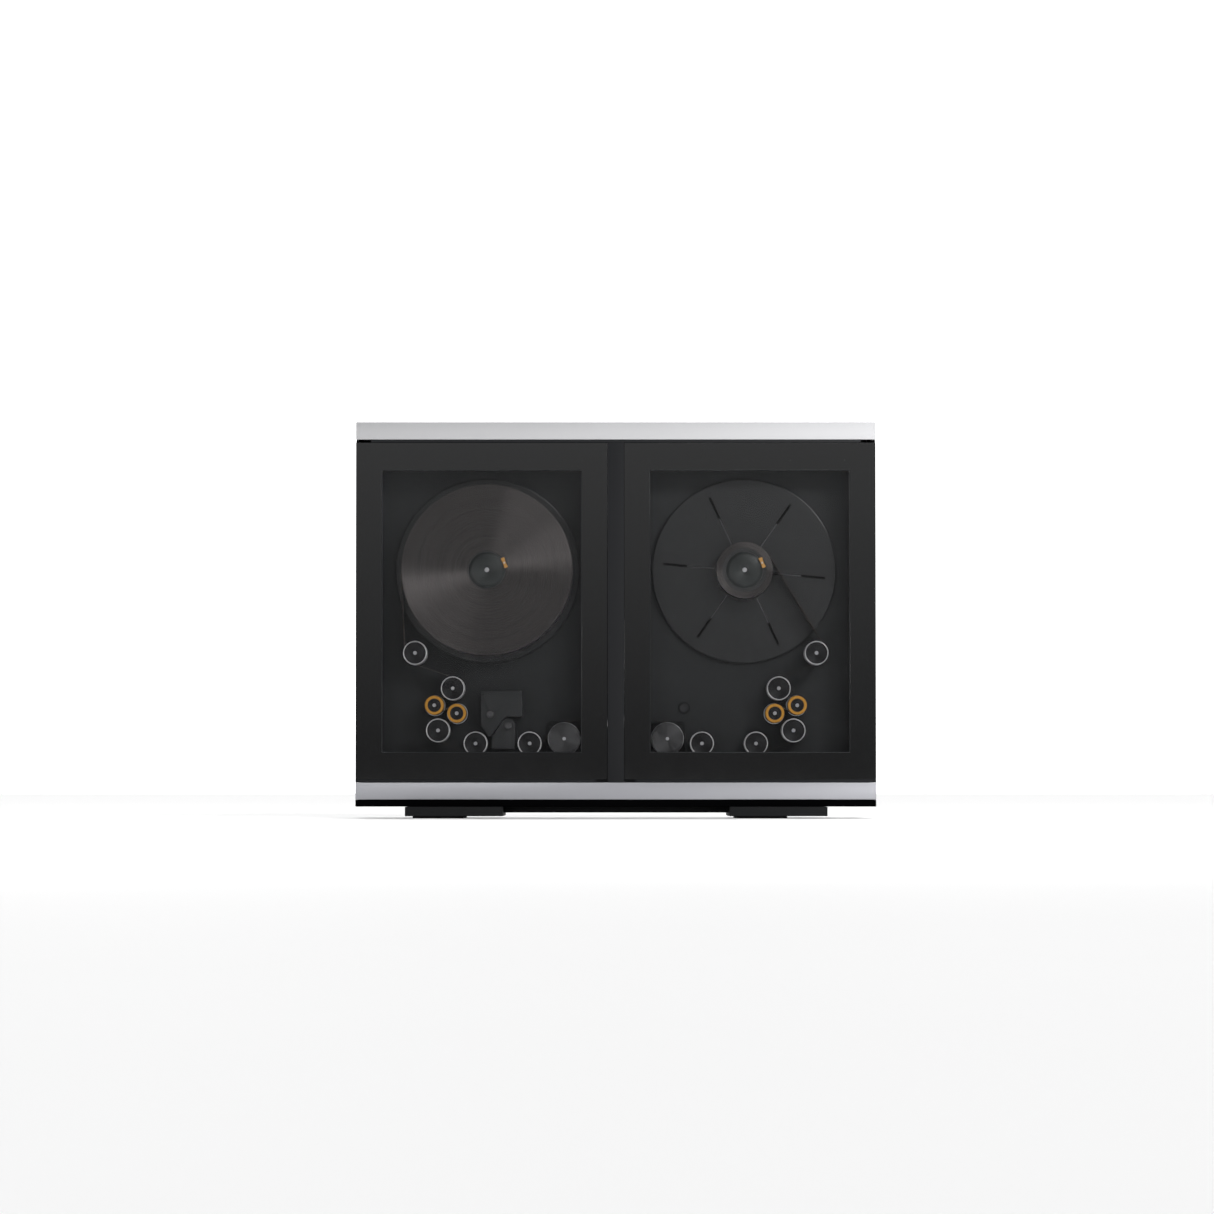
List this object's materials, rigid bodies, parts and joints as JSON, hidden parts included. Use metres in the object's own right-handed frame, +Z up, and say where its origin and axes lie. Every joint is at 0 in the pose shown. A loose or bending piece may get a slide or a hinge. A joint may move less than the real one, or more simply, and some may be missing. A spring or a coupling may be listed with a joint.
{
  "type": "cabinet film reel deck",
  "caption": "Flat cabinet on a low stand with two sliding tinted-glass doors over a deck with core reels, guide rollers, drive rollers and a curved film gate.",
  "frame": {"origin": "middle of the outer box at floor level, under the pads", "axes": "+X to the viewer's right along the cabinet, +Y to the back, +Z up; the doors face -Y"},
  "size_m": [1.035, 0.23, 0.7891],
  "materials": {
    "silver_shell": "satin anodised",
    "black_metal": "fine matt black",
    "deck_coat": "fine textured charcoal",
    "reel_coat": "black anodised, turned",
    "brushed_disc": "dark anodised, turned face",
    "bright_steel": "ground",
    "roller_steel": "bright turned rim, dark dished face",
    "orange_polymer": "satin tacky polymer",
    "door_glass": "tinted, polished",
    "black_rubber": "matt",
    "black_plastic": "fine matt",
    "wound_film": "wound edges with a radial sheen",
    "circuit_board": "solder mask",
    "lens_black": "satin black barrel"
  },
  "bodies": {
    "cabinet": {"top_cap": "silver_shell", "base_strip": "silver_shell", "reader_plate": "silver_shell", "power_supply": "silver_shell", "bottom_plate": "black_metal", "side_panel_left": "black_metal", "side_panel_right": "black_metal", "rear_cover": "black_metal", "centre_post": "black_metal", "top_track": "black_metal", "foot_left": "black_metal", "foot_right": "black_metal", "stand_beam": "black_metal", "lamp_house": "black_metal", "scan_camera": "black_metal", "feed_reel_motor": "black_metal", "takeup_reel_motor": "black_metal", "feed_drive_motor": "black_metal", "takeup_drive_motor": "black_metal", "deck_plate": "deck_coat", "reader_head": "deck_coat", "bottom_track": "bright_steel", "film_gate": "bright_steel", "pad_left": "black_rubber", "pad_right": "black_rubber", "power_inlet": "black_plastic", "film_web": "wound_film", "control_board": "circuit_board", "camera_lens": "lens_black"},
    "feed_reel": {"feed_platter": "reel_coat", "feed_film_pack": "wound_film", "feed_hub": "reel_coat"},
    "feed_lever": {"feed_core_lever": "orange_polymer"},
    "feed_roller_1": {"feed_roller_1": "roller_steel"},
    "feed_roller_2": {"feed_roller_2": "roller_steel"},
    "feed_clean_roller_1": {"feed_clean_roller_1": "orange_polymer"},
    "feed_clean_roller_2": {"feed_clean_roller_2": "orange_polymer"},
    "feed_roller_3": {"feed_roller_3": "roller_steel"},
    "feed_roller_4": {"feed_roller_4": "roller_steel"},
    "feed_roller_5": {"feed_roller_5": "roller_steel"},
    "feed_drive": {"feed_drive_roller": "brushed_disc"},
    "takeup_reel": {"takeup_platter": "reel_coat", "takeup_film_pack": "wound_film", "takeup_hub": "reel_coat"},
    "takeup_lever": {"takeup_core_lever": "orange_polymer"},
    "takeup_roller_1": {"takeup_roller_1": "roller_steel"},
    "takeup_roller_2": {"takeup_roller_2": "roller_steel"},
    "takeup_clean_roller_1": {"takeup_clean_roller_1": "orange_polymer"},
    "takeup_clean_roller_2": {"takeup_clean_roller_2": "orange_polymer"},
    "takeup_roller_3": {"takeup_roller_3": "roller_steel"},
    "takeup_roller_4": {"takeup_roller_4": "roller_steel"},
    "takeup_roller_5": {"takeup_roller_5": "roller_steel"},
    "takeup_drive": {"takeup_drive_roller": "brushed_disc"},
    "left_door": {"left_door_glass": "door_glass", "left_door_rail": "black_metal"},
    "right_door": {"right_door_glass": "door_glass", "right_door_rail": "black_metal"},
    "reader_knob_upper": {"reader_knob_upper": "black_metal"},
    "reader_knob_lower": {"reader_knob_lower": "black_metal"},
    "start_button": {"start_button": "black_plastic"}
  },
  "joints": [
    {"name": "feed_reel_spin", "type": "hinge", "parent": "cabinet", "child": "feed_reel", "pos_m": [-0.257, -0.058, 0.495], "axis": [0, -1, 0], "continuous": true},
    {"name": "feed_lever_turn", "type": "hinge", "parent": "feed_reel", "child": "feed_lever", "pos_m": [-0.22223, -0.0815, 0.50905], "axis": [0, -1, 0], "range_deg": [0, 90]},
    {"name": "feed_roller_1_spin", "type": "hinge", "parent": "cabinet", "child": "feed_roller_1", "pos_m": [-0.4001, -0.058, 0.3294], "axis": [0, -1, 0], "continuous": true},
    {"name": "feed_roller_2_spin", "type": "hinge", "parent": "cabinet", "child": "feed_roller_2", "pos_m": [-0.3248, -0.058, 0.2588], "axis": [0, -1, 0], "continuous": true},
    {"name": "feed_clean_roller_1_spin", "type": "hinge", "parent": "cabinet", "child": "feed_clean_roller_1", "pos_m": [-0.3616, -0.058, 0.225], "axis": [0, -1, 0], "continuous": true},
    {"name": "feed_clean_roller_2_spin", "type": "hinge", "parent": "cabinet", "child": "feed_clean_roller_2", "pos_m": [-0.3169, -0.058, 0.2091], "axis": [0, -1, 0], "continuous": true},
    {"name": "feed_roller_3_spin", "type": "hinge", "parent": "cabinet", "child": "feed_roller_3", "pos_m": [-0.3541, -0.058, 0.1749], "axis": [0, -1, 0], "continuous": true},
    {"name": "feed_roller_4_spin", "type": "hinge", "parent": "cabinet", "child": "feed_roller_4", "pos_m": [-0.2793, -0.058, 0.1489], "axis": [0, -1, 0], "continuous": true},
    {"name": "feed_roller_5_spin", "type": "hinge", "parent": "cabinet", "child": "feed_roller_5", "pos_m": [-0.1716, -0.058, 0.1489], "axis": [0, -1, 0], "continuous": true},
    {"name": "feed_drive_spin", "type": "hinge", "parent": "cabinet", "child": "feed_drive", "pos_m": [-0.1027, -0.058, 0.1584], "axis": [0, -1, 0], "continuous": true},
    {"name": "takeup_reel_spin", "type": "hinge", "parent": "cabinet", "child": "takeup_reel", "pos_m": [0.257, -0.058, 0.495], "axis": [0, -1, 0], "continuous": true},
    {"name": "takeup_lever_turn", "type": "hinge", "parent": "takeup_reel", "child": "takeup_lever", "pos_m": [0.29177, -0.0815, 0.50905], "axis": [0, -1, 0], "range_deg": [0, 90]},
    {"name": "takeup_roller_1_spin", "type": "hinge", "parent": "cabinet", "child": "takeup_roller_1", "pos_m": [0.4001, -0.058, 0.3294], "axis": [0, -1, 0], "continuous": true},
    {"name": "takeup_roller_2_spin", "type": "hinge", "parent": "cabinet", "child": "takeup_roller_2", "pos_m": [0.3248, -0.058, 0.2588], "axis": [0, -1, 0], "continuous": true},
    {"name": "takeup_clean_roller_1_spin", "type": "hinge", "parent": "cabinet", "child": "takeup_clean_roller_1", "pos_m": [0.3616, -0.058, 0.225], "axis": [0, -1, 0], "continuous": true},
    {"name": "takeup_clean_roller_2_spin", "type": "hinge", "parent": "cabinet", "child": "takeup_clean_roller_2", "pos_m": [0.3169, -0.058, 0.2091], "axis": [0, -1, 0], "continuous": true},
    {"name": "takeup_roller_3_spin", "type": "hinge", "parent": "cabinet", "child": "takeup_roller_3", "pos_m": [0.3541, -0.058, 0.1749], "axis": [0, -1, 0], "continuous": true},
    {"name": "takeup_roller_4_spin", "type": "hinge", "parent": "cabinet", "child": "takeup_roller_4", "pos_m": [0.2793, -0.058, 0.1489], "axis": [0, -1, 0], "continuous": true},
    {"name": "takeup_roller_5_spin", "type": "hinge", "parent": "cabinet", "child": "takeup_roller_5", "pos_m": [0.1716, -0.058, 0.1489], "axis": [0, -1, 0], "continuous": true},
    {"name": "takeup_drive_spin", "type": "hinge", "parent": "cabinet", "child": "takeup_drive", "pos_m": [0.1027, -0.058, 0.1584], "axis": [0, -1, 0], "continuous": true},
    {"name": "left_door_slide", "type": "slide", "parent": "cabinet", "child": "left_door", "axis": [-1, 0, 0], "range_m": [0, 0.35]},
    {"name": "right_door_slide", "type": "slide", "parent": "cabinet", "child": "right_door", "axis": [1, 0, 0], "range_m": [0, 0.35]},
    {"name": "reader_knob_upper_turn", "type": "hinge", "parent": "cabinet", "child": "reader_knob_upper", "pos_m": [-0.2505, -0.066, 0.2075], "axis": [0, -1, 0], "range_deg": [0, 270]},
    {"name": "reader_knob_lower_turn", "type": "hinge", "parent": "cabinet", "child": "reader_knob_lower", "pos_m": [-0.2145, -0.074, 0.1845], "axis": [0, -1, 0], "range_deg": [0, 270]},
    {"name": "start_button_press", "type": "slide", "parent": "cabinet", "child": "start_button", "axis": [0, 1, 0], "range_m": [0, 0.002], "stiffness_N_per_m": 500, "springref_m": -0.001}
  ],
  "couplings": [
    {"joint": "feed_roller_1_spin", "follows": "feed_reel_spin", "ratio": 8.3415},
    {"joint": "feed_roller_2_spin", "follows": "feed_reel_spin", "ratio": -8.3415},
    {"joint": "feed_clean_roller_1_spin", "follows": "feed_reel_spin", "ratio": 9.0957},
    {"joint": "feed_clean_roller_2_spin", "follows": "feed_reel_spin", "ratio": -9.0957},
    {"joint": "feed_roller_3_spin", "follows": "feed_reel_spin", "ratio": 8.3415},
    {"joint": "feed_roller_4_spin", "follows": "feed_reel_spin", "ratio": 8.3415},
    {"joint": "feed_roller_5_spin", "follows": "feed_reel_spin", "ratio": 8.3415},
    {"joint": "feed_drive_spin", "follows": "feed_reel_spin", "ratio": -5.4286},
    {"joint": "takeup_reel_spin", "follows": "feed_reel_spin", "ratio": 3.0265},
    {"joint": "takeup_roller_1_spin", "follows": "feed_reel_spin", "ratio": 8.3415},
    {"joint": "takeup_roller_2_spin", "follows": "feed_reel_spin", "ratio": -8.3415},
    {"joint": "takeup_clean_roller_1_spin", "follows": "feed_reel_spin", "ratio": 9.0957},
    {"joint": "takeup_clean_roller_2_spin", "follows": "feed_reel_spin", "ratio": -9.0957},
    {"joint": "takeup_roller_3_spin", "follows": "feed_reel_spin", "ratio": 8.3415},
    {"joint": "takeup_roller_4_spin", "follows": "feed_reel_spin", "ratio": 8.3415},
    {"joint": "takeup_roller_5_spin", "follows": "feed_reel_spin", "ratio": 8.3415},
    {"joint": "takeup_drive_spin", "follows": "feed_reel_spin", "ratio": -5.4286}
  ]
}
